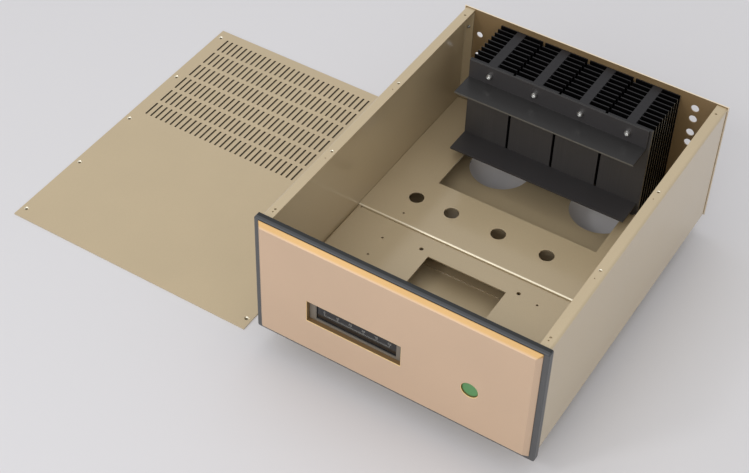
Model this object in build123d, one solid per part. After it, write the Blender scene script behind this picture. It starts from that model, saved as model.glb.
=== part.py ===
"""Sheet metal amplifier chassis with its top cover taken off and laid beside it.

Millimetres, X to the right, Y to the back, Z up. The origin is on the floor, midway
between the four feet. Depths are counted backwards from the back face of the front plate.
"""

import os
from math import atan2, degrees

from build123d import *

# Folded tub
SHEET = 2.0                     # thickness of every folded sheet and of the rear panel
BEND = 2.0                      # inside radius of every fold
TUB_WIDTH = 437.0
TUB_DEPTH = 551.0
TUB_HEIGHT = 213.0              # underside to the top of the flanges
FLANGE = 16.5                   # inward fold along the top of each side wall
LIP = 16.5                      # inward folds at the front and back ends
RELIEF = 1.5                    # notch that keeps two folds apart at a corner
FIT = 0.5                       # room between a tray and the wall beside it
HOLE_ROOM = 0.2                 # a screw hole's radius less the screw's radius
OVERCUT = 1.0                   # how far a cut runs past the faces that it opens
SMALL_SIDES = 6                 # flats that stand for the round of a screw or a screw hole
ROUND_SIDES = 16                # flats round a foot, a terminal hole or a wire hole
CAP_SIDES = 24                  # flats round the push button

# Feet
FOOT_HEIGHT = 35.0
FOOT_RADIUS = 20.0
FOOT_DRAFT = 6.0                # slope of the foot's side, in degrees
FOOT_SIDE_INSET = 43.5          # from the tub's walls to a foot's axis
FOOT_END_INSET = 66.0           # from the tub's ends to a foot's axis

# Screws
M3_RADIUS = 1.4
M4_RADIUS = 1.9
M5_RADIUS = 2.4
M3_HEAD = (2.8, 2.2)            # head radius and height
M4_HEAD = (3.8, 2.8)
M5_HEAD = (4.25, 5.0)
FOOT_SCREW = 14.0               # shank lengths, from under the head
REAR_SCREW = 8.0
FRONT_SCREW = 16.0
SINK_SCREW = 14.0
DISPLAY_SCREW = 8.0
THREAD_END = 1.0                # free depth below a screw's tip in a blind hole

# Front plate and fascia
PLATE_OVERHANG = 4.5            # plate beyond the tub's walls
PLATE_RISE = 3.5                # plate above the tub's flanges
PLATE_THICK = 11.0
PLATE_CORNER = 3.0
PLATE_EDGE = 1.5                # bevel of the plate's front edge
FASCIA_SIDE = 8.0               # plate left showing beside, above and below the fascia
FASCIA_TOP = 2.5
FASCIA_BOTTOM = 8.5
FASCIA_LAND = 1.0               # square edge left beside the front plate
FASCIA_SLOPE = 7.5              # depth of the sloping edge
FASCIA_SLOPE_IN = 6.5           # width of the sloping edge, seen from the front
FRONT_SCREW_LOW = 52.0          # lower screws over the tub's underside
FRONT_SCREW_DROP = 35.0         # upper screws below the tub's flanges

# Display
CONTROL_HEIGHT = 91.5           # window and push button, over the tub's underside
WINDOW_X = -58.0
WINDOW_WIDTH = 150.0
WINDOW_HEIGHT = 38.5
LENS_WIDTH = 128.0
LENS_HEIGHT = 31.0
LENS_RECESS = 1.0               # lens face behind the front plate's face
LENS_RIM = 8.0                  # rim of the lens behind the plate
LENS_RIM_THICK = 3.0
LENS_ROOM = 0.2
MODULE_DEPTH = 14.0
MODULE_EAR = 9.0                # ear of the display module beyond the lens rim
MODULE_EAR_THICK = 2.0

# Push button
BUTTON_X = 122.5
BUTTON_RADIUS = 12.5
BUTTON_ROOM = 0.35
BUTTON_RECESS = 2.5
BUTTON_TRAVEL = 3.0
BUTTON_CAP = 2.2
STEM_SIDE = 9.0                 # square stem
STEM_END = 8.0                  # stem's end behind the front plate's back face
STEM_ROOM = 1.0                 # free depth behind the stem when it is pressed
SWITCH_SIDE = 20.0              # square body of the snap-in switch
SWITCH_COLLAR = 3.0             # collar round the body, against the plate's back face
SWITCH_COLLAR_THICK = 2.5
SWITCH_END = 30.0               # switch's end behind the front plate's back face
BLADE_WIDTH = 4.8
BLADE_THICK = 0.8
BLADE_LENGTH = 8.0
BLADE_SPACING = 12.0

# Raised floor trays
DECK_TOP = 38.0                 # top of the trays over the tub's underside
DECK_FOOT = 25.0                # foot fold along the bottom
SEAM_DEPTH = 244.5              # joint between the two trays
SEAM_GAP = 1.0
DECK_END_ROOM = 4.0             # from the tub's ends to the trays
DECK_STIFFENER = 14.0           # down-turned back edge of the front tray
BAY_X = -7.0                    # middle of the transformer opening
BAY_SIDE = 130.0
BAY_SETBACK = 37.5              # from the seam forward to the opening
BAY_BOLT_OUT = 16.0             # bolt holes outside the opening's sides
BAY_BOLT_BACK = 8.0             # bolt holes outside its front and back edges
BAY_BOLT_RADIUS = 3.0
STAND_RADIUS = 1.7
FRONT_STANDS = ((-148.0, 41.0), (-148.0, 81.5), (107.0, 35.0))    # X, and distance before the seam
BACK_STANDS = ((-149.0, 20.5),)                                    # X, and distance behind it
WIRE_RADIUS = 11.5
WIRE_SETBACK = 60.0             # from the seam back to the wire holes
WIRE_XS = (-150.0, -89.0, -9.0, 72.0)
VENT_X = -4.5                   # middle of the opening under the heatsinks
VENT_WIDTH = 268.0
VENT_FRONT = 200.5              # opening's edges, from the tub's back end
VENT_BACK = 20.0
FAN_RADIUS = 49.0
FAN_SPACING = 176.0
FAN_SETBACK = 83.0              # fan holes, from the tub's back end

# Heatsinks
SINK_COUNT = 4
SINK_PITCH = 76.0
SINK_X = -4.0                   # middle of the row
SINK_WIDTH = 72.0
SINK_DROP = 8.0                 # top below the tub's flanges
SINK_SETBACK = 97.0             # front face, from the tub's back end
SINK_ROOM = 0.5                 # from the web's end to the rear panel
SINK_PLATE = 4.0
WEB = 15.0
FIN_COUNT = 9
FIN_THICK = 2.0

# Angle brackets across the heatsinks
ANGLE_THICK = 3.0
ANGLE_LEFT_INSET = 0.5          # from the row's left and right ends
ANGLE_RIGHT_INSET = 4.0
SHELF_REACH = 46.0
UPPER_LEG = 32.0                # upper shelf below the heatsinks' tops
LOWER_LEG = 23.0                # lower shelf above the trays

# Rear panel
REAR_OVERHANG = 1.5             # panel beyond the tub's walls
REAR_RISE = 2.0                 # panel above the tub's flanges
REAR_SCREW_LOW = 60.0           # lower screws over the tub's underside
REAR_SCREW_DROP = 33.0          # upper screws below the tub's flanges
TERMINAL_RADIUS = 6.2
TERMINAL_INSET = 48.0           # from the tub's right wall
TERMINAL_DROPS = (22.0, 42.0, 68.0, 88.0)
INPUT_RADIUS = 5.0
INPUT_INSET = 28.0              # from the tub's left wall
INPUT_DROPS = (43.0, 83.0)

# Top cover, lying on the floor
LID_INSET = 1.5                 # fitted cover inside the tub's walls
LID_MARGIN = 1.0                # and inside the tub's ends
LID_GAP = 34.5                  # from the tub to the cover on the floor
LID_Y = -6.0
LID_HOLE_RADIUS = 2.1
LID_HOLE_COUNT = 5
LID_HOLE_END = 18.5             # first and last screw holes from the cover's ends
TAP_RADIUS = 1.65
FLANGE_HOLE_INSET = 10.0        # row of cover screws, from the tub's walls
FLANGE_MIDDLE_HOLES = (158.0, 336.0)
SLOT_COLUMNS = 30
SLOT_ROWS = 6
SLOT_PITCH = 10.0
ROW_PITCH = 40.0
SLOT_WIDTH = 3.2
SLOT_LENGTH = 32.0
SLOT_LEFT = 24.0                # first slot's middle from the cover's left edge
SLOT_BACK = 18.5                # last row's end from the cover's back edge

# Places that follow from the sizes above
FRONT = -TUB_DEPTH / 2
BACK = TUB_DEPTH / 2
BASE = FOOT_HEIGHT              # underside of the tub
FLOOR = BASE + SHEET            # upper face of the tub's bottom
TOP = BASE + TUB_HEIGHT
SIDE = TUB_WIDTH / 2
TURN = BEND + SHEET             # outside radius of a fold
PLATE_WIDTH = TUB_WIDTH + 2 * PLATE_OVERHANG
PLATE_HEIGHT = TUB_HEIGHT + PLATE_RISE
PLATE_FACE = FRONT - PLATE_THICK
FASCIA_WIDTH = PLATE_WIDTH - 2 * FASCIA_SIDE
FASCIA_HEIGHT = PLATE_HEIGHT - FASCIA_TOP - FASCIA_BOTTOM
FASCIA_THICK = FASCIA_LAND + FASCIA_SLOPE
FASCIA_FACE = PLATE_FACE - FASCIA_THICK
CONTROL_Z = BASE + CONTROL_HEIGHT
DECK_Z = BASE + DECK_TOP
SEAM = FRONT + SEAM_DEPTH
BAY_END = SEAM - BAY_SETBACK    # back edge of the transformer opening
LIP_SCREW_X = SIDE - SHEET - (LIP - SHEET) / 2
FRONT_SCREW_ZS = (BASE + FRONT_SCREW_LOW, TOP - FRONT_SCREW_DROP)
REAR_SCREW_ZS = (BASE + REAR_SCREW_LOW, TOP - REAR_SCREW_DROP)
FLANGE_HOLE_X = SIDE - FLANGE_HOLE_INSET
FOOT_X = SIDE - FOOT_SIDE_INSET
FOOT_Y = BACK - FOOT_END_INSET
SINK_FACE = BACK - SINK_SETBACK
SINK_END = BACK - SINK_ROOM
SINK_Z = TOP - SINK_DROP        # tops of the heatsinks
FIN_PITCH = (SINK_END - SINK_FACE - SINK_PLATE) / FIN_COUNT
ANGLE_FACE = SINK_FACE - ANGLE_THICK
UPPER_SHELF_Z = SINK_Z - UPPER_LEG
LOWER_SHELF_Z = DECK_Z + LOWER_LEG
UPPER_SCREW_Z = (UPPER_SHELF_Z + SINK_Z) / 2
LOWER_SCREW_Z = (DECK_Z + LOWER_SHELF_Z - ANGLE_THICK) / 2
SINK_XS = [SINK_X + (i - (SINK_COUNT - 1) / 2) * SINK_PITCH for i in range(SINK_COUNT)]
ROW_LEFT = SINK_XS[0] - SINK_WIDTH / 2
ROW_RIGHT = SINK_XS[-1] + SINK_WIDTH / 2
FAN_XS = [VENT_X - FAN_SPACING / 2, VENT_X + FAN_SPACING / 2]
LID_WIDTH = TUB_WIDTH - 2 * LID_INSET
LID_DEPTH = TUB_DEPTH - 2 * LID_MARGIN
LID_X = -SIDE - LID_GAP - LID_WIDTH / 2
M3_HOLE = M3_RADIUS + HOLE_ROOM
M4_HOLE = M4_RADIUS + HOLE_ROOM
M5_HOLE = M5_RADIUS + HOLE_ROOM

POINT_BACK = Rot(-90, 0, 0)     # turns +Z to +Y
POINT_FRONT = Rot(90, 0, 0)     # turns +Z to -Y
POINT_DOWN = Rot(180, 0, 0)     # turns +Z to -Z


def block(low, high):
    """Box between two opposite corners."""
    size = [b - a for a, b in zip(low, high)]
    middle = [(a + b) / 2 for a, b in zip(low, high)]
    return Pos(*middle) * Box(*size)


def rod_y(x, z, radius, start, end):
    """Cylinder along Y from start to end."""
    return Pos(x, (start + end) / 2, z) * Rot(90, 0, 0) * Cylinder(radius, abs(end - start))


def rod_z(x, y, radius, start, end):
    """Cylinder along Z from start to end."""
    return Pos(x, y, (start + end) / 2) * Cylinder(radius, abs(end - start))


def small_z(x, y, radius, start, end, sides=SMALL_SIDES):
    """Many-sided rod along Z from start to end."""
    return Pos(x, y, start) * extrude(RegularPolygon(radius, sides), amount=end - start)


def small_y(x, z, radius, start, end, sides=SMALL_SIDES):
    """Many-sided rod along Y from start to end."""
    return Pos(x, start, z) * POINT_BACK * small_z(0, 0, radius, 0, end - start, sides)


def folded(points, start, end, plane):
    """Sheet folded along the middle line given by the points, from start to end across plane."""
    middle_line = FilletPolyline(*points, radius=BEND + SHEET / 2)
    section = plane.offset(start) * trace(middle_line, SHEET)
    return extrude(section, amount=end - start)


def screw(radius, head, length):
    """Screw pointing along +Z, with the seat of its head at the origin."""
    head_radius, head_height = head
    return small_z(0, 0, head_radius, -head_height, 0) + small_z(0, 0, radius, 0, length)


def group(pieces):
    """Several separate solids under one name."""
    return Compound(children=list(pieces))


def end_lips(end, inward):
    """Folds at one end of the tub, one on each wall, that carry the plate there."""
    half = SHEET / 2
    edge = end + inward * half
    root = end + inward * (TURN + RELIEF)
    pieces = []
    for side in (-1, 1):
        wall = side * (SIDE - half)
        points = ((wall, root), (wall, edge), (side * (SIDE - LIP), edge))
        pieces.append(folded(points, BASE + TURN + RELIEF, TOP - TURN - RELIEF, Plane.XY))
    return pieces


def make_tub():
    """One folded sheet: bottom, two walls, top flanges and end lips."""
    half = SHEET / 2
    wall = SIDE - half
    section = ((-SIDE + FLANGE, TOP - half), (-wall, TOP - half), (-wall, BASE + half),
               (wall, BASE + half), (wall, TOP - half), (SIDE - FLANGE, TOP - half))
    tub = folded(section, -BACK, BACK, Plane.XZ)
    for end, inward in ((FRONT, 1), (BACK, -1)):
        root = end + inward * TURN
        low, high = sorted((end, root))
        tub -= block((-SIDE, low, BASE + TURN), (SIDE, high, TOP - TURN))
        for piece in end_lips(end, inward):
            tub += piece
    for x in FAN_XS:
        tub -= rod_z(x, BACK - FAN_SETBACK, FAN_RADIUS, BASE - OVERCUT, FLOOR + OVERCUT)
    for x in (-FOOT_X, FOOT_X):
        for y in (-FOOT_Y, FOOT_Y):
            tub -= small_z(x, y, M4_HOLE, BASE - OVERCUT, FLOOR + OVERCUT)
    for x in (-FLANGE_HOLE_X, FLANGE_HOLE_X):
        for depth in flange_hole_depths():
            tub -= small_z(x, FRONT + depth, TAP_RADIUS, TOP - SHEET - OVERCUT, TOP + OVERCUT)
    for x, z in lip_screw_places(FRONT_SCREW_ZS):
        tub -= small_y(x, z, M4_HOLE, FRONT - OVERCUT, FRONT + SHEET + OVERCUT)
    for x, z in lip_screw_places(REAR_SCREW_ZS):
        tub -= small_y(x, z, M4_HOLE, BACK - SHEET - OVERCUT, BACK + OVERCUT)
    return tub


def lip_screw_places(heights):
    """Axes of the screws through the lips at one end of the tub."""
    return [(x, z) for x in (-LIP_SCREW_X, LIP_SCREW_X) for z in heights]


def flange_hole_depths():
    """Screw holes along each flange; the end ones meet the cover's end holes."""
    first = LID_MARGIN + LID_HOLE_END
    last = LID_MARGIN + LID_DEPTH - LID_HOLE_END
    return (first, *FLANGE_MIDDLE_HOLES, last)


def make_front_plate():
    """Thick dark plate behind the fascia, with round corners and a bevelled front edge."""
    outline = RectangleRounded(PLATE_WIDTH, PLATE_HEIGHT, PLATE_CORNER)
    plate = Pos(0, FRONT, BASE + PLATE_HEIGHT / 2) * POINT_FRONT * extrude(outline, PLATE_THICK)
    plate = chamfer(plate.faces().sort_by(Axis.Y)[0].edges(), PLATE_EDGE)
    reach = (PLATE_FACE - OVERCUT, FRONT + OVERCUT)
    plate -= block((WINDOW_X - LENS_WIDTH / 2, reach[0], CONTROL_Z - LENS_HEIGHT / 2),
                   (WINDOW_X + LENS_WIDTH / 2, reach[1], CONTROL_Z + LENS_HEIGHT / 2))
    seat = SWITCH_SIDE / 2 + HOLE_ROOM
    plate -= block((BUTTON_X - seat, reach[0], CONTROL_Z - seat),
                   (BUTTON_X + seat, reach[1], CONTROL_Z + seat))
    for x, z in lip_screw_places(FRONT_SCREW_ZS):
        plate -= small_y(x, z, M4_HOLE, *reach)
    for x, z in display_screw_places():
        tip = FRONT - DISPLAY_SCREW + MODULE_EAR_THICK + LENS_RIM_THICK
        plate -= small_y(x, z, M3_HOLE, tip - THREAD_END, FRONT + OVERCUT)
    return plate


def make_fascia():
    """Bronze face plate with sloping edges, a window and the button's hole."""
    outline = Rectangle(FASCIA_WIDTH, FASCIA_HEIGHT)
    slope = degrees(atan2(FASCIA_SLOPE_IN, FASCIA_SLOPE))
    body = extrude(outline, FASCIA_LAND)
    body += Pos(0, 0, FASCIA_LAND) * extrude(outline, FASCIA_SLOPE, taper=slope)
    middle = BASE + FASCIA_BOTTOM + FASCIA_HEIGHT / 2
    fascia = Pos(0, PLATE_FACE, middle) * POINT_FRONT * body
    reach = (FASCIA_FACE - OVERCUT, PLATE_FACE + OVERCUT)
    fascia -= block((WINDOW_X - WINDOW_WIDTH / 2, reach[0], CONTROL_Z - WINDOW_HEIGHT / 2),
                    (WINDOW_X + WINDOW_WIDTH / 2, reach[1], CONTROL_Z + WINDOW_HEIGHT / 2))
    fascia -= rod_y(BUTTON_X, CONTROL_Z, BUTTON_RADIUS + BUTTON_ROOM, *reach)
    tip = FRONT + SHEET - FRONT_SCREW
    for x, z in lip_screw_places(FRONT_SCREW_ZS):
        fascia -= small_y(x, z, M4_HOLE, tip - THREAD_END, PLATE_FACE + OVERCUT)
    return fascia


def display_screw_places():
    """Axes of the screws through the display module's ears."""
    out = LENS_WIDTH / 2 + LENS_RIM + MODULE_EAR / 2
    return [(WINDOW_X - out, CONTROL_Z), (WINDOW_X + out, CONTROL_Z)]


def make_display():
    """Smoked lens that fills the plate's opening, the module behind it and its screws."""
    face = PLATE_FACE + LENS_RECESS
    half_w, half_h = LENS_WIDTH / 2 - LENS_ROOM, LENS_HEIGHT / 2 - LENS_ROOM
    rim_w, rim_h = LENS_WIDTH / 2 + LENS_RIM, LENS_HEIGHT / 2 + LENS_RIM
    rim_back = FRONT + LENS_RIM_THICK
    lens = block((WINDOW_X - half_w, face, CONTROL_Z - half_h),
                 (WINDOW_X + half_w, FRONT, CONTROL_Z + half_h))
    lens += block((WINDOW_X - rim_w, FRONT, CONTROL_Z - rim_h),
                  (WINDOW_X + rim_w, rim_back, CONTROL_Z + rim_h))
    module = block((WINDOW_X - rim_w, rim_back, CONTROL_Z - rim_h),
                   (WINDOW_X + rim_w, rim_back + MODULE_DEPTH, CONTROL_Z + rim_h))
    ear = rim_w + MODULE_EAR
    module += block((WINDOW_X - ear, rim_back, CONTROL_Z - rim_h),
                    (WINDOW_X + ear, rim_back + MODULE_EAR_THICK, CONTROL_Z + rim_h))
    seat = rim_back + MODULE_EAR_THICK
    for side in (-1, 1):
        low, high = sorted((side * rim_w, side * ear))
        spacer = block((WINDOW_X + low, FRONT, CONTROL_Z - rim_h),
                       (WINDOW_X + high, rim_back, CONTROL_Z + rim_h))
        module += spacer
    for x, z in display_screw_places():
        module -= small_y(x, z, M3_HOLE, FRONT - OVERCUT, seat + OVERCUT)
    pins = [Pos(x, seat, z) * POINT_FRONT * screw(M3_RADIUS, M3_HEAD, DISPLAY_SCREW)
            for x, z in display_screw_places()]
    return {"display_lens": lens, "display_module": module, "display_screws": group(pins)}


def make_button():
    """Green push button with a square stem, and the snap-in switch that carries it."""
    cap_face = FASCIA_FACE + BUTTON_RECESS
    cap_back = cap_face + BUTTON_CAP
    cap = small_y(BUTTON_X, CONTROL_Z, BUTTON_RADIUS, cap_face, cap_back, CAP_SIDES)
    stem = STEM_SIDE / 2
    cap += block((BUTTON_X - stem, cap_back, CONTROL_Z - stem),
                 (BUTTON_X + stem, FRONT + STEM_END, CONTROL_Z + stem))
    half = SWITCH_SIDE / 2
    switch_end = FRONT + SWITCH_END
    switch = block((BUTTON_X - half, PLATE_FACE, CONTROL_Z - half),
                   (BUTTON_X + half, switch_end, CONTROL_Z + half))
    collar = half + SWITCH_COLLAR
    switch += block((BUTTON_X - collar, FRONT, CONTROL_Z - collar),
                    (BUTTON_X + collar, FRONT + SWITCH_COLLAR_THICK, CONTROL_Z + collar))
    for side in (-1, 1):
        x = BUTTON_X + side * BLADE_SPACING / 2
        switch += block((x - BLADE_THICK / 2, switch_end, CONTROL_Z - BLADE_WIDTH / 2),
                        (x + BLADE_THICK / 2, switch_end + BLADE_LENGTH, CONTROL_Z + BLADE_WIDTH / 2))
    bore_end = FRONT + STEM_END + BUTTON_TRAVEL + STEM_ROOM
    bore = stem + BUTTON_ROOM
    switch -= block((BUTTON_X - bore, PLATE_FACE - OVERCUT, CONTROL_Z - bore),
                    (BUTTON_X + bore, bore_end, CONTROL_Z + bore))
    return {"power_button": cap, "power_switch": switch}


def make_front_deck():
    """Front floor tray: folded legs at both sides and a stiffening fold at the back."""
    half = SHEET / 2
    leg = SIDE - SHEET - FIT - half
    top = DECK_Z - half
    foot = FLOOR + half
    start = FRONT + DECK_END_ROOM
    end = SEAM - SEAM_GAP
    section = ((DECK_FOOT - leg, foot), (-leg, foot), (-leg, top),
               (leg, top), (leg, foot), (leg - DECK_FOOT, foot))
    deck = folded(section, -end, -start, Plane.XZ)
    flat = leg - half - TURN
    deck -= block((-flat, end - TURN, DECK_Z - TURN), (flat, end + OVERCUT, DECK_Z + OVERCUT))
    fold = ((end - TURN - RELIEF, top), (end - half, top), (end - half, DECK_Z - DECK_STIFFENER))
    deck += folded(fold, -flat + RELIEF, flat - RELIEF, Plane.YZ)
    reach = (DECK_Z - SHEET - OVERCUT, DECK_Z + OVERCUT)
    deck -= block((BAY_X - BAY_SIDE / 2, BAY_END - BAY_SIDE, reach[0]),
                  (BAY_X + BAY_SIDE / 2, BAY_END, reach[1]))
    for x, y in bay_bolt_places():
        deck -= small_z(x, y, BAY_BOLT_RADIUS, *reach)
    for x, distance in FRONT_STANDS:
        deck -= small_z(x, SEAM - distance, STAND_RADIUS, *reach)
    return deck


def bay_bolt_places():
    """Axes of the four bolt holes round the transformer opening."""
    out = BAY_SIDE / 2 + BAY_BOLT_OUT
    back = BAY_END + BAY_BOLT_BACK
    front = BAY_END - BAY_SIDE - BAY_BOLT_BACK
    return [(BAY_X + side * out, y) for side in (-1, 1) for y in (front, back)]


def make_rear_deck():
    """Rear floor tray: folded legs at its front and back, open under the heatsinks."""
    half = SHEET / 2
    start = SEAM + half
    end = BACK - DECK_END_ROOM - half
    top = DECK_Z - half
    foot = FLOOR + half
    section = ((start - DECK_FOOT, foot), (start, foot), (start, top),
               (end, top), (end, foot), (end - DECK_FOOT, foot))
    inner = SIDE - SHEET - FIT
    narrow = inner - DECK_FOOT - TURN
    deck = folded(section, -inner, inner, Plane.YZ)
    for side in (-1, 1):
        low, high = sorted((side * narrow, side * (inner + OVERCUT)))
        deck -= block((low, start - DECK_FOOT - OVERCUT, FLOOR - OVERCUT),
                      (high, start - half, DECK_Z - TURN))
        low, high = sorted((side * (inner - TURN), side * (inner + OVERCUT)))
        deck -= block((low, start - TURN, FLOOR - OVERCUT), (high, end + half, FLOOR + TURN))
    reach = (DECK_Z - SHEET - OVERCUT, DECK_Z + OVERCUT)
    deck -= block((VENT_X - VENT_WIDTH / 2, BACK - VENT_FRONT, reach[0]),
                  (VENT_X + VENT_WIDTH / 2, BACK - VENT_BACK, reach[1]))
    for x in WIRE_XS:
        deck -= small_z(x, SEAM + WIRE_SETBACK, WIRE_RADIUS, *reach, ROUND_SIDES)
    for x, distance in BACK_STANDS:
        deck -= small_z(x, SEAM + distance, STAND_RADIUS, *reach)
    return deck


def make_heatsink(x):
    """Extruded heatsink: mounting plate, central web and fins on both sides."""
    profile = Pos(x, SINK_FACE + SINK_PLATE / 2) * Rectangle(SINK_WIDTH, SINK_PLATE)
    profile += Pos(x, (SINK_FACE + SINK_END) / 2) * Rectangle(WEB, SINK_END - SINK_FACE)
    before_fins = SINK_FACE + SINK_PLATE - FIN_THICK / 2
    for number in range(1, FIN_COUNT + 1):
        profile += Pos(x, before_fins + number * FIN_PITCH) * Rectangle(SINK_WIDTH, FIN_THICK)
    sink = extrude(Pos(0, 0, DECK_Z) * profile, SINK_Z - DECK_Z)
    depth = SINK_SCREW - ANGLE_THICK + THREAD_END
    for z in (UPPER_SCREW_Z, LOWER_SCREW_Z):
        sink -= small_y(x, z, M5_HOLE, SINK_FACE - OVERCUT, SINK_FACE + depth)
    return sink


def make_angle(shelf_z, leg_z, screw_z):
    """Angle with a shelf towards the front and a leg on the heatsinks' plates."""
    shelf_low = shelf_z - ANGLE_THICK
    left = ROW_LEFT + ANGLE_LEFT_INSET
    right = ROW_RIGHT - ANGLE_RIGHT_INSET
    angle = block((left, SINK_FACE - SHELF_REACH, shelf_low), (right, SINK_FACE, shelf_z))
    low, high = sorted((leg_z, (shelf_low + shelf_z) / 2))
    angle += block((left, ANGLE_FACE, low), (right, SINK_FACE, high))
    for x in SINK_XS:
        angle -= small_y(x, screw_z, M5_HOLE, ANGLE_FACE - OVERCUT, SINK_FACE + OVERCUT)
    return angle


def sink_screws(z):
    """One cap screw through an angle into each heatsink."""
    one = POINT_BACK * screw(M5_RADIUS, M5_HEAD, SINK_SCREW)
    return group(Pos(x, ANGLE_FACE, z) * one for x in SINK_XS)


def make_rear_panel():
    """Flat back plate with the terminal and input holes."""
    half = SIDE + REAR_OVERHANG
    panel = block((-half, BACK, BASE), (half, BACK + SHEET, TOP + REAR_RISE))
    reach = (BACK - OVERCUT, BACK + SHEET + OVERCUT)
    for drop in TERMINAL_DROPS:
        panel -= small_y(SIDE - TERMINAL_INSET, TOP - drop, TERMINAL_RADIUS, *reach, ROUND_SIDES)
    for drop in INPUT_DROPS:
        panel -= small_y(INPUT_INSET - SIDE, TOP - drop, INPUT_RADIUS, *reach, ROUND_SIDES)
    for x, z in lip_screw_places(REAR_SCREW_ZS):
        panel -= small_y(x, z, M4_HOLE, *reach)
    return panel


def make_lid():
    """Flat vented cover, lying on the floor at the left of the tub."""
    sheet = Rectangle(LID_WIDTH, LID_DEPTH)
    first_x = -LID_WIDTH / 2 + SLOT_LEFT
    last_y = LID_DEPTH / 2 - SLOT_BACK - SLOT_LENGTH / 2
    slots = [Pos(first_x + i * SLOT_PITCH, last_y - j * ROW_PITCH) * Rectangle(SLOT_WIDTH, SLOT_LENGTH)
             for i in range(SLOT_COLUMNS) for j in range(SLOT_ROWS)]
    step = (LID_DEPTH - 2 * LID_HOLE_END) / (LID_HOLE_COUNT - 1)
    first_y = -LID_DEPTH / 2 + LID_HOLE_END
    holes = [Pos(x, first_y + i * step) * RegularPolygon(LID_HOLE_RADIUS, SMALL_SIDES)
             for x in (-FLANGE_HOLE_X, FLANGE_HOLE_X) for i in range(LID_HOLE_COUNT)]
    sheet -= slots + holes
    return Pos(LID_X, LID_Y, 0) * extrude(sheet, SHEET)


def make_foot(x, y):
    """Turned foot with a blind hole for its screw."""
    foot = extrude(RegularPolygon(FOOT_RADIUS, ROUND_SIDES), FOOT_HEIGHT, taper=FOOT_DRAFT)
    hole_end = FLOOR - FOOT_SCREW - THREAD_END
    foot -= small_z(0, 0, M4_HOLE, hole_end, FOOT_HEIGHT + OVERCUT)
    return Pos(x, y, 0) * foot


def make_parts():
    """Every piece of the chassis by name."""
    parts = {
        "chassis_tub": make_tub(),
        "front_plate": make_front_plate(),
        "fascia": make_fascia(),
        "front_deck": make_front_deck(),
        "rear_deck": make_rear_deck(),
        "rear_panel": make_rear_panel(),
        "upper_bracket": make_angle(UPPER_SHELF_Z, SINK_Z, UPPER_SCREW_Z),
        "lower_bracket": make_angle(LOWER_SHELF_Z, DECK_Z, LOWER_SCREW_Z),
        "upper_bracket_screws": sink_screws(UPPER_SCREW_Z),
        "lower_bracket_screws": sink_screws(LOWER_SCREW_Z),
        "lid": make_lid(),
    }
    parts.update(make_display())
    parts.update(make_button())
    for number, x in enumerate(SINK_XS, start=1):
        parts[f"heatsink_{number}"] = make_heatsink(x)
    foot_places = [(x, y) for x in (-FOOT_X, FOOT_X) for y in (-FOOT_Y, FOOT_Y)]
    parts["feet"] = group(make_foot(x, y) for x, y in foot_places)
    foot_screw = POINT_DOWN * screw(M4_RADIUS, M4_HEAD, FOOT_SCREW)
    parts["foot_screws"] = group(Pos(x, y, FLOOR) * foot_screw for x, y in foot_places)
    rear_screw = POINT_FRONT * screw(M4_RADIUS, M4_HEAD, REAR_SCREW)
    parts["rear_panel_screws"] = group(Pos(x, BACK + SHEET, z) * rear_screw
                                       for x, z in lip_screw_places(REAR_SCREW_ZS))
    front_screw = POINT_FRONT * screw(M4_RADIUS, M4_HEAD, FRONT_SCREW)
    parts["front_panel_screws"] = group(Pos(x, FRONT + SHEET, z) * front_screw
                                        for x, z in lip_screw_places(FRONT_SCREW_ZS))
    return parts


def main():
    """Writes one STEP file for each piece."""
    os.makedirs("parts", exist_ok=True)
    for name, shape in make_parts().items():
        export_step(shape, f"parts/{name}.step")


if __name__ == "__main__":
    main()
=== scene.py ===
"""Looks of an open sheet metal amplifier chassis with its vented cover lying beside it.

Every size is in metres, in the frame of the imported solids: X to the right, Y to the back, Z up.
"""

import logging
import math
from dataclasses import dataclass, field
from enum import Enum
from functools import partial

import bmesh
import bpy
import numpy as np
from bpy.types import Material, Mesh, NodeSocket as Socket, Object
from mathutils import Matrix, Vector


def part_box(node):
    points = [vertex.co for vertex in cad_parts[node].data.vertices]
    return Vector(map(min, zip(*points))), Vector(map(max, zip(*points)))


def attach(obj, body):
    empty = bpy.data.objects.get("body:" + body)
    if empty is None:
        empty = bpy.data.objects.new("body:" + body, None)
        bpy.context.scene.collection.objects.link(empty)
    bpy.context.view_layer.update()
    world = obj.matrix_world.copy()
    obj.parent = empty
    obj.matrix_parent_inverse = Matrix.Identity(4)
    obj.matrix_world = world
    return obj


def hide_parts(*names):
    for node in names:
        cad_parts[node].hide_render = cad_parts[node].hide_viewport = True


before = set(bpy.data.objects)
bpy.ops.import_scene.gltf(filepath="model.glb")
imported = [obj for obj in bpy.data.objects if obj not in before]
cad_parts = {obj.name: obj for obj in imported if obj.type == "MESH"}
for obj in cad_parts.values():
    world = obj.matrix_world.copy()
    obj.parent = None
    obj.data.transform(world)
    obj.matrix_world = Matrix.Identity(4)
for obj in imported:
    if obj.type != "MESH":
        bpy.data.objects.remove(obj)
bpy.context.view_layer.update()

LOG = logging.getLogger("chassis")
MM = 0.001
FAR = math.inf
SHARP = math.radians(30.0)
WELD = 0.001 * MM
SKIN = 0.1 * MM

# Cosine from which a face counts as square to an axis.
FACING = 0.9

# Steps of a full turn round holes of each kind.
PLAIN_TURN = 24
SCREW_TURN = 32
PANEL_TURN = 48
WIRE_TURN = 64

# Places of the colour sockets on a mix node.
MIX_BELOW = 6
MIX_ABOVE = 7
MIX_RESULT = 2

Colour = tuple[float, float, float]
Point = tuple[float, float, float]
Pair = tuple[float, float]
Shell = tuple[np.ndarray, list[list[int]]]


class Body(Enum):
    """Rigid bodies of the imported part."""

    CHASSIS = "chassis"
    BUTTON = "button"


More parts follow.
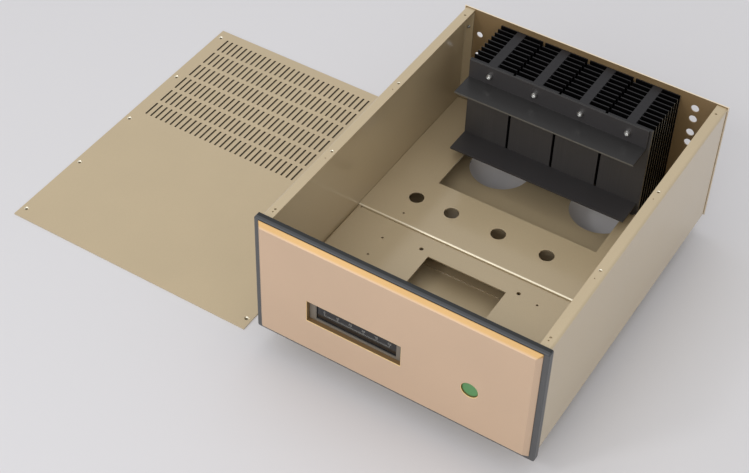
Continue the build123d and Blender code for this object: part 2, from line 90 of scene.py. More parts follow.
class Axis(Enum):
    """Directions that a turned piece may point in: its own axis, then the two across it."""

    UP = ((0, 0, 1), (1, 0, 0), (0, 1, 0))
    FRONT = ((0, -1, 0), (1, 0, 0), (0, 0, 1))
    BACK = ((0, 1, 0), (1, 0, 0), (0, 0, 1))


class Grain(Enum):
    """Fine structure of a surface: how its pattern is stretched along X, Y and Z."""

    EVEN = (1.0, 1.0, 1.0)
    UPRIGHT_LINES = (1.0, 1.0, 0.004)
    LENGTHWAYS_LINES = (0.004, 1.0, 1.0)


def linear(red: int, green: int, blue: int) -> Colour:
    """Turns a display colour of 0 to 255 into linear light.

    Args:
        red: Display red.
        green: Display green.
        blue: Display blue.

    Returns:
        The three channels in linear light, from 0 to 1.
    """
    display = np.array([red, green, blue]) / 255.0
    low = display / 12.92
    high = ((display + 0.055) / 1.055) ** 2.4
    return tuple(float(c) for c in np.where(display <= 0.04045, low, high))


class Graph:
    """Node tree of one material, round a Principled shader."""

    def __init__(self, name: str) -> None:
        """Starts an empty tree with a shader and an output."""
        self.material = bpy.data.materials.new(name)
        self.material.use_nodes = True
        self.tree = self.material.node_tree
        self.tree.nodes.clear()
        self.shader = self.tree.nodes.new("ShaderNodeBsdfPrincipled")
        output = self.tree.nodes.new("ShaderNodeOutputMaterial")
        self.link(self.shader.outputs["BSDF"], output.inputs["Surface"])
        self.coords = self.tree.nodes.new("ShaderNodeTexCoord").outputs["Object"]

    def link(self, source: Socket, target: Socket) -> None:
        """Joins two sockets."""
        self.tree.links.new(source, target)

    def feed(self, target: Socket, value: object) -> None:
        """Joins a socket to the target, or sets a plain value on it.

        Args:
            target: Input socket.
            value: Socket, number or colour.
        """
        if isinstance(value, Socket):
            self.link(value, target)
        else:
            target.default_value = value

    def set(self, **values: object) -> None:
        """Sets shader sockets; an underscore in a name stands for a space."""
        for name, value in values.items():
            self.shader.inputs[name.replace("_", " ")].default_value = value

    def noise(self, scale: float, detail: float, grain: Grain = Grain.EVEN) -> Socket:
        """Noise over the object's own coordinates.

        Args:
            scale: Features in a metre.
            detail: Octaves of finer noise.
            grain: Stretch of the pattern.

        Returns:
            The noise value socket, from 0 to 1.
        """
        mapping = self.tree.nodes.new("ShaderNodeMapping")
        mapping.inputs["Scale"].default_value = grain.value
        self.link(self.coords, mapping.inputs["Vector"])
        node = self.tree.nodes.new("ShaderNodeTexNoise")
        node.inputs["Scale"].default_value = scale
        node.inputs["Detail"].default_value = detail
        self.link(mapping.outputs["Vector"], node.inputs["Vector"])
        return node.outputs["Fac"]

    def remap(self, value: Socket, low: float, high: float) -> Socket:
        """Spreads the middle half of a noise value over a range.

        Args:
            value: Noise socket.
            low: Result at the noise's lower quarter.
            high: Result at its upper quarter.

        Returns:
            The spread value's socket.
        """
        node = self.tree.nodes.new("ShaderNodeMapRange")
        node.inputs["From Min"].default_value = 0.25
        node.inputs["From Max"].default_value = 0.75
        node.inputs["To Min"].default_value = low
        node.inputs["To Max"].default_value = high
        self.link(value, node.inputs["Value"])
        return node.outputs["Result"]

    def blend(self, factor: Socket, below: object, above: Colour) -> Socket:
        """Lays a colour over another.

        Args:
            factor: Share of the upper colour.
            below: Linear colour with alpha, or the socket of one.
            above: Linear colour.

        Returns:
            The mixed colour's socket.
        """
        node = self.tree.nodes.new("ShaderNodeMix")
        node.data_type = "RGBA"
        self.link(factor, node.inputs["Factor"])
        self.feed(node.inputs[MIX_BELOW], below)
        node.inputs[MIX_ABOVE].default_value = (*above, 1.0)
        return node.outputs[MIX_RESULT]

    def math(self, operation: str, first: object, second: object = 0.0) -> Socket:
        """Sum, product or comparison of two values.

        Args:
            operation: Name of the operation.
            first: Number or socket.
            second: Number or socket.

        Returns:
            The result's socket.
        """
        node = self.tree.nodes.new("ShaderNodeMath")
        node.operation = operation
        self.feed(node.inputs[0], first)
        self.feed(node.inputs[1], second)
        return node.outputs["Value"]

    def axes(self) -> tuple[Socket, ...]:
        """Sockets of the object's X, Y and Z coordinates."""
        node = self.tree.nodes.new("ShaderNodeSeparateXYZ")
        self.link(self.coords, node.inputs["Vector"])
        return tuple(node.outputs)

    def bump(self, height: Socket, depth: float, strength: float) -> None:
        """Gives the surface a relief.

        Args:
            height: Height socket, from 0 to 1.
            depth: Height of the relief in metres.
            strength: Share of the relief that shows.
        """
        node = self.tree.nodes.new("ShaderNodeBump")
        node.inputs["Distance"].default_value = depth
        node.inputs["Strength"].default_value = strength
        self.link(height, node.inputs["Height"])
        self.link(node.outputs["Normal"], self.shader.inputs["Normal"])


@dataclass(frozen=True)
class Zone:
    """Another colour inside a box; a side without limits is open."""

    colour: Colour
    x: Pair = (-FAR, FAR)
    y: Pair = (-FAR, FAR)
    z: Pair = (-FAR, FAR)
    fade: float = 0.0

    def share(self, graph: Graph) -> object:
        """How much of the zone's colour shows.

        Args:
            graph: Tree that takes the nodes.

        Returns:
            Socket that is 0 outside the box and 1 inside it. A zone that fades rises from 0 to 1 over
            that length from its lower limit.
        """
        share = 1.0
        for value, (low, high) in zip(graph.axes(), (self.x, self.y, self.z)):
            if low > -FAR and self.fade:
                rise = graph.math("DIVIDE", graph.math("SUBTRACT", value, low), self.fade)
                share = graph.math("MINIMUM", graph.math("MAXIMUM", rise, 0.0), share)
            elif low > -FAR:
                share = graph.math("MULTIPLY", graph.math("GREATER_THAN", value, low), share)
            if high < FAR:
                share = graph.math("MULTIPLY", graph.math("LESS_THAN", value, high), share)
        return share


@dataclass(frozen=True)
class Finish:
    """A surface with a fine grain, a faint cloudiness, a shallow relief and zones of other colours."""

    name: str
    colour: Colour
    metallic: float = 0.0
    roughness: float = 0.4
    specular: float = 0.5
    coat: float = 0.0
    coat_roughness: float = 0.12
    grain: Grain = Grain.EVEN
    grain_scale: float = 1600.0
    grain_contrast: float = 0.05
    grain_detail: float = 2.0
    cloud_scale: float = 7.0
    cloud_detail: float = 3.0
    cloud_contrast: float = 0.03
    roughness_spread: float = 0.05
    relief: float = 0.02 * MM
    relief_strength: float = 0.25
    zones: tuple[Zone, ...] = ()

    def build(self) -> Material:
        """Makes the material.

        Returns:
            A material whose colour, gloss and relief follow the grain.
        """
        graph = Graph(self.name)
        graph.set(Metallic=self.metallic, Specular_IOR_Level=self.specular, Coat_Weight=self.coat,
                  Coat_Roughness=self.coat_roughness)
        grain = graph.noise(self.grain_scale, self.grain_detail, self.grain)
        cloud = graph.noise(self.cloud_scale, self.cloud_detail)
        grain_value = graph.remap(grain, 1 - self.grain_contrast, 1 + self.grain_contrast)
        cloud_value = graph.remap(cloud, 1 - self.cloud_contrast, 1 + self.cloud_contrast)
        tone = graph.tree.nodes.new("ShaderNodeHueSaturation")
        colour = (*self.colour, 1.0)
        for zone in self.zones:
            colour = graph.blend(zone.share(graph), colour, zone.colour)
        graph.feed(tone.inputs["Color"], colour)
        graph.link(graph.math("MULTIPLY", grain_value, cloud_value), tone.inputs["Value"])
        graph.link(tone.outputs["Color"], graph.shader.inputs["Base Color"])
        low, high = self.roughness - self.roughness_spread, self.roughness + self.roughness_spread
        graph.link(graph.remap(cloud, low, high), graph.shader.inputs["Roughness"])
        graph.bump(grain, self.relief, self.relief_strength)
        return graph.material


drawn = partial(Finish, grain=Grain.LENGTHWAYS_LINES, grain_scale=1800.0)
extruded = partial(Finish, grain=Grain.UPRIGHT_LINES, grain_scale=900.0)

CHAMPAGNE = Finish("champagne_paint", linear(195, 176, 142), metallic=0.08, roughness=0.4, coat=0.8,
                   coat_roughness=0.13, grain_scale=2200.0, grain_contrast=0.06)
# Near-black brown on the cover's slot walls: painted shade.
SLOT_SHADE = Finish("slot_wall_painted_shade", linear(34, 27, 20), roughness=0.7, grain_scale=1800.0)
BARE = Finish("bare_countersink", linear(246, 240, 222), metallic=0.9, roughness=0.3,
              grain_scale=3000.0)
# Near-white, half metallic finish on the rear tray's front fold: a painted highlight.
FOLD_HIGHLIGHT = Finish("fold_painted_highlight", linear(255, 244, 218), metallic=0.45, roughness=0.34,
                     grain_scale=2600.0)
# Near-white on the rear panel's top faces: a painted highlight.
TOP_HIGHLIGHT = Finish("rear_top_painted_highlight", linear(244, 228, 202), metallic=0.2, roughness=0.4, grain_scale=2200.0)
BEZEL = Finish("bezel_grey", linear(120, 112, 101), roughness=0.5, grain_scale=2400.0)
BLACK = drawn("black_anodised", linear(52, 51, 51), roughness=0.3, specular=0.22, relief_strength=0.1)
# Paler copy of the black anodising: painted light on the angles' front faces and on all of the lower
# angle.
LEG_LIGHT = drawn("angle_leg_painted_light", linear(64, 62, 63), roughness=0.4, relief_strength=0.12)
# Grey on the upper angle's front edge: a painted highlight.
EDGE_HIGHLIGHT = drawn("angle_edge", linear(104, 102, 97), roughness=0.4, relief_strength=0.12)
# Near-black on the fins' flanks: painted shade between the fins.
FLANK_SHADE = extruded("fin_flank_painted_shade", linear(5, 4, 5), roughness=0.6, specular=0.1)
# Pale warm grey on the outer ends of the row's fins: painted light.
FIN_END_LIGHT = extruded("fin_end_painted_light", linear(122, 117, 104), roughness=0.45)
# Paler grey on the heatsinks' front faces: painted light.
FRONT_LIGHT = extruded("sink_front_painted_light", linear(71, 69, 69), roughness=0.5, grain_contrast=0.08)
SINK = extruded("sink_anodised", linear(34, 33, 36), roughness=0.45, specular=0.3, grain_contrast=0.12,
                relief_strength=0.35)
STEEL = Finish("bright_steel", linear(236, 236, 234), metallic=1.0, roughness=0.3, grain_scale=3000.0)
ZINC = Finish("zinc_steel", linear(176, 176, 174), metallic=1.0, roughness=0.36, grain_scale=2400.0)
RUBBER = Finish("foot_rubber", linear(40, 40, 41), roughness=0.62, grain_scale=1400.0,
                relief_strength=0.4)
GREEN = Finish("green_cap", linear(87, 145, 88), roughness=0.42, coat=0.1, grain_scale=1500.0)
LENS = Finish("smoked_lens", linear(22, 22, 24), roughness=0.16, roughness_spread=0.03,
              grain_scale=500.0, relief_strength=0.03)
PRINT = Finish("pale_print", linear(160, 160, 156), roughness=0.5, grain_scale=4000.0)
PLASTIC = Finish("black_plastic", linear(36, 36, 37), roughness=0.5, grain_scale=1300.0)


def bronze() -> Finish:
    """Finish of the fascia: a blasted face, a golden top slope, a painted highlight on its edges and
    painted shade in its openings.

    The top slope's gold fades in above the flat face; it is partly a cut finish and partly painted
    light from above, as only the top slope has it. The painted highlight, a pale gold, lies on the
    faces just behind the face's front, and the painted shade, a dark brown, on the walls of the
    openings that lie deeper, within the face's rectangle.

    Returns:
        The finish for the fascia's own size.
    """
    low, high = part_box("fascia")
    slope = 6.4 * MM
    margin = slope + 2.0 * MM
    cut = low.y + 0.03 * MM
    deep = low.y + 0.9 * MM
    inside = {"x": (margin - high.x, high.x - margin), "z": (low.z + margin, high.z - margin)}
    # Golden top slope: partly a cut finish, partly painted light from above.
    zones = (Zone(linear(207, 166, 107), z=(high.z - slope, FAR), fade=2.6 * MM),
             # Painted highlight: pale gold on the edges just behind the face.
             Zone(linear(255, 220, 156), y=(cut, FAR), **inside),
             # Painted shade: dark brown on the deeper walls of the openings.
             Zone(linear(146, 116, 78), y=(deep, FAR), **inside))
    return Finish("bronze_anodised", linear(213, 184, 156), metallic=0.3, roughness=0.4,
                  grain_scale=2600.0, zones=zones)


def slate() -> Finish:
    """Finish of the thick front plate, with painted shade: a dark top, and a half dark brow above the
    fascia.

    Returns:
        The finish for the plate's own size.
    """
    low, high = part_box("front_plate")
    top = high.z - 0.6 * MM
    rounding = low.y + 5.2 * MM
    # Painted shade: a darker brow above the fascia, and a near-black top behind the rounding.
    zones = (Zone(linear(72, 74, 77), z=(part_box("fascia")[1].z, FAR)),
             Zone(linear(36, 38, 39), y=(rounding, FAR), z=(top, FAR)))
    return Finish("slate_anodised", linear(92, 93, 94), metallic=0.3, roughness=0.42,
                  grain_scale=2600.0, zones=zones)


def rear_colour_and_painted_light() -> Finish:
    """Finish of the rear panel: a dark warm brown that is partly painted shade, with painted light,
    near-white, in front where its margins pass the tub's sides.

    Returns:
        The finish for the tub's own width.
    """
    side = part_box("chassis_tub")[1].x
    front = (-FAR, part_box("rear_panel")[0].y + SKIN)
    # Painted light on the front of the margins beside the tub, where they lie in shade.
    pale = linear(240, 226, 204)
    zones = (Zone(pale, (-FAR, -side), front), Zone(pale, (side, FAR), front))
    # Dark warm brown: partly the panel's colour, partly painted shade of its inside.
    return Finish("rear_panel_colour_and_painted_light", linear(147, 122, 87), metallic=0.15, roughness=0.4, coat=0.3,
                  grain_scale=2200.0, grain_contrast=0.06, zones=zones)


class Workshop:
    """Turns numpy shells into dressed pieces; each finish becomes one material."""

    materials: dict[Finish, Material] = {}

    @classmethod
    def material(cls, finish: Finish) -> Material:
        """The finish's material, made the first time it is asked for."""
        if finish not in cls.materials:
            cls.materials[finish] = finish.build()
        return cls.materials[finish]

    @classmethod
    def dress_node(cls, name: str, finish: Finish) -> Object:
        """Gives a solid its finish.

        Args:
            name: The solid's node.
            finish: What its surface is.

        Returns:
            The node's object.
        """
        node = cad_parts[name]
        node.data.materials.clear()
        node.data.materials.append(cls.material(finish))
        LOG.info("%s: solid, %s", name, finish.name)
        return node

    @staticmethod
    def mesh(name: str, shells: list[Shell]) -> Mesh:
        """Joins shells in one mesh with outward faces and smooth curves.

        Args:
            name: The mesh's name.
            shells: Vertices and faces of each closed shell.

        Returns:
            The joined mesh.
        """
        starts = np.cumsum([0] + [len(points) for points, _ in shells])
        points = np.concatenate([points for points, _ in shells])
        sides = [[int(start) + corner for corner in side]
                 for start, (_, shell) in zip(starts, shells) for side in shell]
        mesh = bpy.data.meshes.new(name)
        mesh.from_pydata(points.tolist(), [], sides)
        tidy = bmesh.new()
        tidy.from_mesh(mesh)
        bmesh.ops.recalc_face_normals(tidy, faces=tidy.faces)
        tidy.to_mesh(mesh)
        tidy.free()
        mesh.shade_smooth()
        mesh.set_sharp_from_angle(angle=SHARP)
        return mesh

    @classmethod
    def piece(cls, name: str, mesh: Mesh, finish: Finish, slot: str,
              replaced: tuple[str, ...] = (), body: Body = Body.CHASSIS) -> Object:
        """Puts a new piece in the scene.

        Args:
            name: Name of the piece.
            mesh: Its mesh, in place.
            finish: What its surface is.
            slot: Not used.
            replaced: Solids that it stands for.
            body: Body that it moves with.

        Returns:
            The piece's object.
        """
        piece = bpy.data.objects.new(name, mesh)
        bpy.context.scene.collection.objects.link(piece)
        mesh.materials.clear()
        mesh.materials.append(cls.material(finish))
        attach(piece, body.value)
        if replaced:
            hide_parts(*replaced)
        LOG.info("%s: new piece, %s, %d faces", name, finish.name, len(mesh.polygons))
        return piece


def faces(mesh: Mesh) -> tuple[np.ndarray, np.ndarray]:
    """Middles and normals of a mesh's faces.

    Args:
        mesh: Any mesh.

    Returns:
        Two arrays with a row for each face.
    """
    middle = np.empty(len(mesh.polygons) * 3)
    normal = np.empty(len(mesh.polygons) * 3)
    mesh.polygons.foreach_get("center", middle)
    mesh.polygons.foreach_get("normal", normal)
    return middle.reshape(-1, 3), normal.reshape(-1, 3)


def refinish(mesh: Mesh, chosen: np.ndarray, finish: Finish) -> None:
    """Gives some faces of a mesh another finish.

    Args:
        mesh: The mesh.
        chosen: True for each face that gets it.
        finish: The other finish.
    """
    index = np.empty(len(mesh.polygons), np.int32)
    mesh.polygons.foreach_get("material_index", index)
    index[chosen] = len(mesh.materials)
    mesh.materials.append(Workshop.material(finish))
    mesh.polygons.foreach_set("material_index", index)


def turned(place: Point, axis: Axis, radius: np.ndarray, height: np.ndarray) -> Shell:
    """A closed shell round an axis.

    Row i and column j give the point that lies height[i] along the axis from the place, and
    radius[i, j] out from it at the angle j of a full turn. Both ends are closed by a pole on the axis.

    Args:
        place: Origin of the heights, on the axis.
        axis: Direction of the axis.
        radius: Distances from the axis, rows by columns.
        height: Height of each row, with the two poles' heights first and last.

    Returns:
        Vertices and faces.
    """
    along, first, second = np.array(axis.value, float)
    rows, columns = radius.shape
    angle = np.linspace(0, 2 * np.pi, columns, endpoint=False)
    across = np.cos(angle)[:, None] * first + np.sin(angle)[:, None] * second
    body = height[1:-1, None, None] * along + radius[:, :, None] * across
    poles = height[[0, -1], None] * along
    points = np.concatenate([body.reshape(-1, 3), poles]) + place
    here = np.arange(rows * columns).reshape(rows, columns)
    there = np.roll(here, -1, axis=1)
    quads = np.stack([here[:-1], there[:-1], there[1:], here[1:]], axis=-1).reshape(-1, 4)
    start = np.stack([here[0], there[0], np.full(columns, rows * columns)], axis=-1)
    end = np.stack([there[-1], here[-1], np.full(columns, rows * columns + 1)], axis=-1)
    return points, quads.tolist() + start.tolist() + end.tolist()


def flats(sides: int, columns: int) -> np.ndarray:
    """Radius of a regular polygon round a full turn.

    It is 1 over the cosine of the angle from the middle of the nearest flat.

    Args:
        sides: Number of flats, each at unit distance.
        columns: Angles in the turn.

    Returns:
        One radius for each angle.
    """
    angle = np.linspace(0, 2 * np.pi, columns, endpoint=False)
    half = np.pi / sides
    return 1.0 / np.cos((angle + half) % (2 * half) - half)


def soften(piece: Object, width: float, segments: int = 2) -> None:
    """Rounds a piece's sharp edges, as deburring and paint do.

    Args:
        piece: Solid or new piece.
        width: How far the round reaches from the edge.
        segments: Steps of the round.
    """
    weld = piece.modifiers.new("weld", "WELD")
    weld.merge_threshold = WELD
    bevel = piece.modifiers.new("soft_edges", "BEVEL")
    bevel.width = width
    bevel.segments = segments
    bevel.limit_method = "ANGLE"
    bevel.angle_limit = SHARP
    flatten = piece.modifiers.new("flat_faces", "WEIGHTED_NORMAL")
    flatten.weight = 100
    flatten.keep_sharp = False


@dataclass(frozen=True)
class Drill:
    """A round hole whose mouth is countersunk where it is wider than the hole."""

    place: Point
    axis: Axis
    radius: float
    mouth: float
    columns: int
    above: float = 1.0 * MM
    depth: float = 4.0 * MM

    def shell(self) -> Shell:
        """The tool that cuts it: straight above the surface, a cone of 45 degrees, then straight.

        Returns:
            Vertices and faces.
        """
        sink = self.mouth - self.radius
        height = np.array([self.above, self.above, 0.0, -sink, -self.depth, -self.depth])
        rows = np.array([self.mouth, self.mouth, self.radius, self.radius])
        return turned(self.place, self.axis, np.repeat(rows[:, None], self.columns, axis=1), height)


@dataclass
class DrilledSheet:
    """A folded or flat sheet, copied from its solid and drilled with truly round holes."""

    node: str
    drills: list[Drill]
    finish: Finish = CHAMPAGNE
    slot: str = "champagne_paint"
    edge: float = 0.25 * MM
    burr: float = 0.4 * MM
    bare: bool = False
    slopes: Pair = (0.2, 0.95)

    def dress_countersinks(self, mesh: Mesh) -> None:
        """Leaves bright metal on the sloping faces of the countersinks.

        Args:
            mesh: The drilled mesh.
        """
        middle, normal = faces(mesh)
        sunk = [drill for drill in self.drills if drill.mouth - drill.radius > self.burr]
        axes = np.array([drill.place for drill in sunk])
        reach = np.array([drill.mouth for drill in sunk])
        away = np.linalg.norm(middle[:, None, :2] - axes[:, :2], axis=-1)
        near = (away < reach).any(axis=1)
        upward = np.abs(normal[:, 2])
        sloping = (upward > self.slopes[0]) & (upward < self.slopes[1])
        refinish(mesh, near & sloping, BARE)

    def build(self) -> Object:
        """Merges a copy of the solid, cuts the holes and softens the edges.

        Returns:
            The sheet's object.
        """
        merged = bmesh.new()
        merged.from_mesh(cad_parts[self.node].data)
        bmesh.ops.remove_doubles(merged, verts=merged.verts, dist=WELD)
        plain = bpy.data.meshes.new(f"{self.node}_blank")
        merged.to_mesh(plain)
        merged.free()
        blank = bpy.data.objects.new(f"{self.node}_blank", plain)
        tool = bpy.data.objects.new(f"{self.node}_tool",
                                    Workshop.mesh("tool", [drill.shell() for drill in self.drills]))
        for item in (blank, tool):
            bpy.context.scene.collection.objects.link(item)
        cut = blank.modifiers.new("drill", "BOOLEAN")
        cut.operation = "DIFFERENCE"
        cut.solver = "EXACT"
        cut.object = tool
        view = bpy.context.evaluated_depsgraph_get()
        drilled = bpy.data.meshes.new_from_object(blank.evaluated_get(view))
        bpy.data.objects.remove(blank)
        bpy.data.objects.remove(tool)
        drilled.shade_smooth()
        drilled.set_sharp_from_angle(angle=SHARP)
        sheet = Workshop.piece(f"{self.node}_sheet", drilled, self.finish, self.slot, (self.node,))
        drilled.polygons.foreach_set("material_index", np.zeros(len(drilled.polygons), np.int32))
        if self.bare:
            self.dress_countersinks(drilled)
        soften(sheet, self.edge)
        return sheet


@dataclass
class Enclosure:
    """Folded tub, floor trays, rear panel and the cover on the floor."""

    flange_inset: float = 10.0 * MM
    flange_holes: tuple[float, ...] = (158.0 * MM, 336.0 * MM)
    flange_ends: tuple[float, ...] = (19.5 * MM, 531.5 * MM)
    flange_edge: float = 0.2 * MM
    pin_hole: float = 13.6 * MM
    pin_radius: float = 1.2 * MM
    mark_ahead: float = 16.5 * MM
    mark_radius: float = 0.9 * MM
    tap_radius: float = 1.8 * MM
    tap_mouth: float = 2.6 * MM
    cover_inset: float = 8.5 * MM
    cover_end: float = 18.5 * MM
    cover_holes: int = 5
    cover_radius: float = 2.2 * MM
    cover_mouth: float = 3.5 * MM
    wire_xs: tuple[float, ...] = (-150 * MM, -89 * MM, -9 * MM, 72 * MM)
    wire_y: float = 29.0 * MM
    wire_radius: float = 11.6 * MM
    bolts: tuple[Pair, ...] = ((-88 * MM, -60.5 * MM), (-88 * MM, -206.5 * MM),
                               (74 * MM, -60.5 * MM), (74 * MM, -206.5 * MM))
    bolt_radius: float = 3.05 * MM
    stands: tuple[Pair, ...] = ((-148 * MM, -72 * MM), (-148 * MM, -112.5 * MM), (107 * MM, -66 * MM))
    rear_stand: Pair = (-149 * MM, -10.5 * MM)
    stand_radius: float = 1.75 * MM
    terminal_x: float = 170.5 * MM
    terminal_drops: tuple[float, ...] = (22.0 * MM, 42.0 * MM, 68.0 * MM, 88.0 * MM)
    terminal_radius: float = 6.25 * MM
    input_x: float = -190.5 * MM
    input_drops: tuple[float, ...] = (43.0 * MM, 83.0 * MM)
    input_radius: float = 5.05 * MM
    edge: float = 0.3 * MM
    fold_seam: float = -31.0 * MM
    fold_turn: float = 4.0 * MM
    fold_slopes: Pair = (-0.8, -0.3)
    slot_rim: float = 14.0 * MM
    slot_slope: float = 0.3

    def hole(self, place: Point, radius: float, columns: int, axis: Axis = Axis.UP) -> Drill:
        """A straight hole with a broken edge."""
        return Drill(place, axis, radius, radius + self.edge, columns)

    def build(self) -> None:
        """Makes the drilled sheets."""
        self.build_tub()
        self.build_trays()
        self.build_rear_panel()
        self.build_cover()

    def build_tub(self) -> None:
        """Drills the flanges' tapped holes and the small plain ones."""
        low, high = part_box("chassis_tub")
        side = high.x - self.flange_inset
        radius, mouth = self.tap_radius, self.tap_mouth
        drills = [Drill((x, low.y + depth, high.z), Axis.UP, radius, mouth, SCREW_TURN)
                  for x in (-side, side) for depth in self.flange_holes]
        plain = [(depth, self.tap_radius) for depth in self.flange_ends]
        plain += [(depth - self.mark_ahead, self.mark_radius) for depth in self.flange_holes]
        plain.append((self.pin_hole, self.pin_radius))
        edge = self.flange_edge
        drills += [Drill((x, low.y + depth, high.z), Axis.UP, radius, radius + edge, PLAIN_TURN)
                   for x in (-side, side) for depth, radius in plain]
        DrilledSheet("chassis_tub", drills, bare=True).build()

    def build_trays(self) -> None:
        """Drills the trays and paints a highlight on the rear one's front fold, where the two meet."""
        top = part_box("front_deck")[1].z
        drills = [self.hole((x, y, top), self.bolt_radius, SCREW_TURN) for x, y in self.bolts]
        drills += [self.hole((x, y, top), self.stand_radius, PLAIN_TURN) for x, y in self.stands]
        DrilledSheet("front_deck", drills).build()
        drills = [self.hole((x, self.wire_y, top), self.wire_radius, WIRE_TURN) for x in self.wire_xs]
        drills.append(self.hole((*self.rear_stand, top), self.stand_radius, PLAIN_TURN))
        tray = DrilledSheet("rear_deck", drills).build()
        middle, normal = faces(tray.data)
        sloping = (normal[:, 1] > self.fold_slopes[0]) & (normal[:, 1] < self.fold_slopes[1])
        near = (middle[:, 1] < self.fold_seam + self.fold_turn) & (middle[:, 2] > top - self.fold_turn)
        # Painted highlight along the rear tray's front fold.
        refinish(tray.data, sloping & near, FOLD_HIGHLIGHT)

    def build_rear_panel(self) -> None:
        """Drills the terminal and input holes from behind."""
        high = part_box("rear_panel")[1]
        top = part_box("chassis_tub")[1].z
        holes = [(self.terminal_x, drop, self.terminal_radius) for drop in self.terminal_drops]
        holes += [(self.input_x, drop, self.input_radius) for drop in self.input_drops]
        drills = [self.hole((x, high.y, top - drop), radius, PANEL_TURN, Axis.BACK)
                  for x, drop, radius in holes]
        panel = DrilledSheet("rear_panel", drills, rear_colour_and_painted_light()).build()
        middle = faces(panel.data)[0]
        refinish(panel.data, np.abs(middle[:, 0]) > high.x - SKIN, CHAMPAGNE)
        # Painted highlight on the panel's top faces.
        refinish(panel.data, middle[:, 2] > high.z - SKIN, TOP_HIGHLIGHT)

    def build_cover(self) -> None:
        """Countersinks the cover's screw holes and paints shade on the walls of its slots."""
        low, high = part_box("lid")
        ends = np.linspace(low.y + self.cover_end, high.y - self.cover_end, self.cover_holes)
        sides = (low.x + self.cover_inset, high.x - self.cover_inset)
        radius, mouth = self.cover_radius, self.cover_mouth
        drills = [Drill((x, float(y), high.z), Axis.UP, radius, mouth, SCREW_TURN)
                  for x in sides for y in ends]
        cover = DrilledSheet("lid", drills, bare=True).build()
        middle, normal = faces(cover.data)
        inside = (middle > np.array(low) + self.slot_rim) & (middle < np.array(high) - self.slot_rim)
        upright = np.abs(normal[:, 2]) < self.slot_slope
        # Painted shade on the walls of the slots.
        refinish(cover.data, inside[:, :2].all(axis=1) & upright, SLOT_SHADE)


@dataclass
class ScrewSet:
    """Socket screws that stand for one solid: all of one size and direction.

    A shank has a radius and a length, a head a radius and a height.
    """

    node: str
    axis: Axis
    shank: Pair
    head: Pair = (3.8 * MM, 2.8 * MM)
    grid: tuple[int, int] = (2, 2)
    finish: Finish = ZINC
    slot: str = "zinc_steel"
    knurls: int = 0
    pitch: float = 0.0
    columns: int = 48
    key_share: float = 0.36 / 0.68
    floor_share: float = 0.42
    soft_share: float = 0.12
    knurl_share: float = 0.018
    thread_share: float = 0.54
    thread_rows: int = 6

    def places(self) -> list[Point]:
        """Seats of the heads, spaced evenly between the outer heads of the solid.

        Returns:
            One point for each screw, on its axis under its head.
        """
        low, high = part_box(self.node)
        reach, tall = self.head
        seat = {Axis.UP: high.z - tall, Axis.BACK: high.y - tall, Axis.FRONT: low.y + tall}[self.axis]
        flat = reach * math.cos(math.pi / 6)
        across, up = self.grid
        level = self.axis is Axis.UP
        start, end = (low.y, high.y) if level else (low.z, high.z)
        xs = np.linspace(low.x + reach, high.x - reach, across).tolist()
        others = np.linspace(start + flat, end - flat, up).tolist() if up > 1 else [(start + end) / 2]
        return [(x, other, seat) if level else (x, seat, other) for x in xs for other in others]

    def shell(self, place: Point) -> Shell:
        """One screw: socket, head and shank as rows of a turned shell.

        The socket's rows are hexagons, the head's side is knurled by a fine sine of the angle, and the
        shank's thread is a triangle wave of height over pitch less a turn's share of the angle.

        Args:
            place: Seat of the head.

        Returns:
            Vertices and faces.
        """
        radius, tall = self.head
        core, length = self.shank
        key = self.key_share * radius
        floor = self.floor_share * tall
        soft = self.soft_share * radius
        turn = np.linspace(0, 2 * np.pi, self.columns, endpoint=False)
        plain = np.ones(self.columns)
        hexed = flats(6, self.columns)
        knurl = 1.0 - self.knurl_share * (1 + np.sin(self.knurls * turn)) if self.knurls else plain
        rows = [(key, floor, hexed), (key, tall - 0.4 * soft, hexed), (key + 0.5 * soft, tall, hexed),
                (radius - 1.6 * soft, tall, plain), (radius - 0.5 * soft, tall - 0.4 * soft, plain),
                (radius, tall - 1.4 * soft, knurl), (radius, 0.8 * soft, knurl),
                (radius - 0.4 * soft, 0.1 * soft, plain), (radius - 0.6 * soft, 0.0, plain),
                (core + 0.2 * soft, 0.0, plain), (core, -0.4 * soft, plain)]
        radii = np.array([size * shape for size, _, shape in rows])
        heights = np.array([height for _, height, _ in rows])
        if self.pitch:
            down = np.arange(-self.pitch, -length + self.pitch, -self.pitch / self.thread_rows)
            phase = (down[:, None] / self.pitch - turn / (2 * np.pi)) % 1.0
            thread = core - self.thread_share * self.pitch * np.abs(2 * phase - 1)
            radii = np.concatenate([radii, thread])
            heights = np.concatenate([heights, down])
        radii = np.concatenate([radii, [(core - 0.5 * soft) * plain]])
        heights = np.concatenate([[floor - 0.25 * key], heights, [-length], [-length]])
        return turned(place, self.axis, radii, heights)

    def build(self) -> Object:
        """Makes the set as one piece.

        Returns:
            The set's object.
        """
        mesh = Workshop.mesh(f"{self.node}_set", [self.shell(place) for place in self.places()])
        return Workshop.piece(f"{self.node}_set", mesh, self.finish, self.slot, (self.node,))


@dataclass
class CapScrewSet(ScrewSet):
    """Bright cap screws with knurled heads, one in each heatsink."""

    shank: Pair = (2.4 * MM, 14.0 * MM)
    head: Pair = (4.25 * MM, 5.0 * MM)
    grid: tuple[int, int] = (4, 1)
    finish: Finish = STEEL
    slot: str = "bright_steel"
    knurls: int = 24
    columns: int = 96


SCREWS = (CapScrewSet("upper_bracket_screws", Axis.FRONT),
          CapScrewSet("lower_bracket_screws", Axis.FRONT),
          ScrewSet("front_panel_screws", Axis.BACK, (1.9 * MM, 16.0 * MM)),
          ScrewSet("display_screws", Axis.BACK, (1.4 * MM, 8.0 * MM), (2.8 * MM, 2.2 * MM), (2, 1)),
          ScrewSet("rear_panel_screws", Axis.BACK, (1.9 * MM, 8.0 * MM), pitch=0.7 * MM),
          ScrewSet("foot_screws", Axis.UP, (1.9 * MM, 14.0 * MM)))


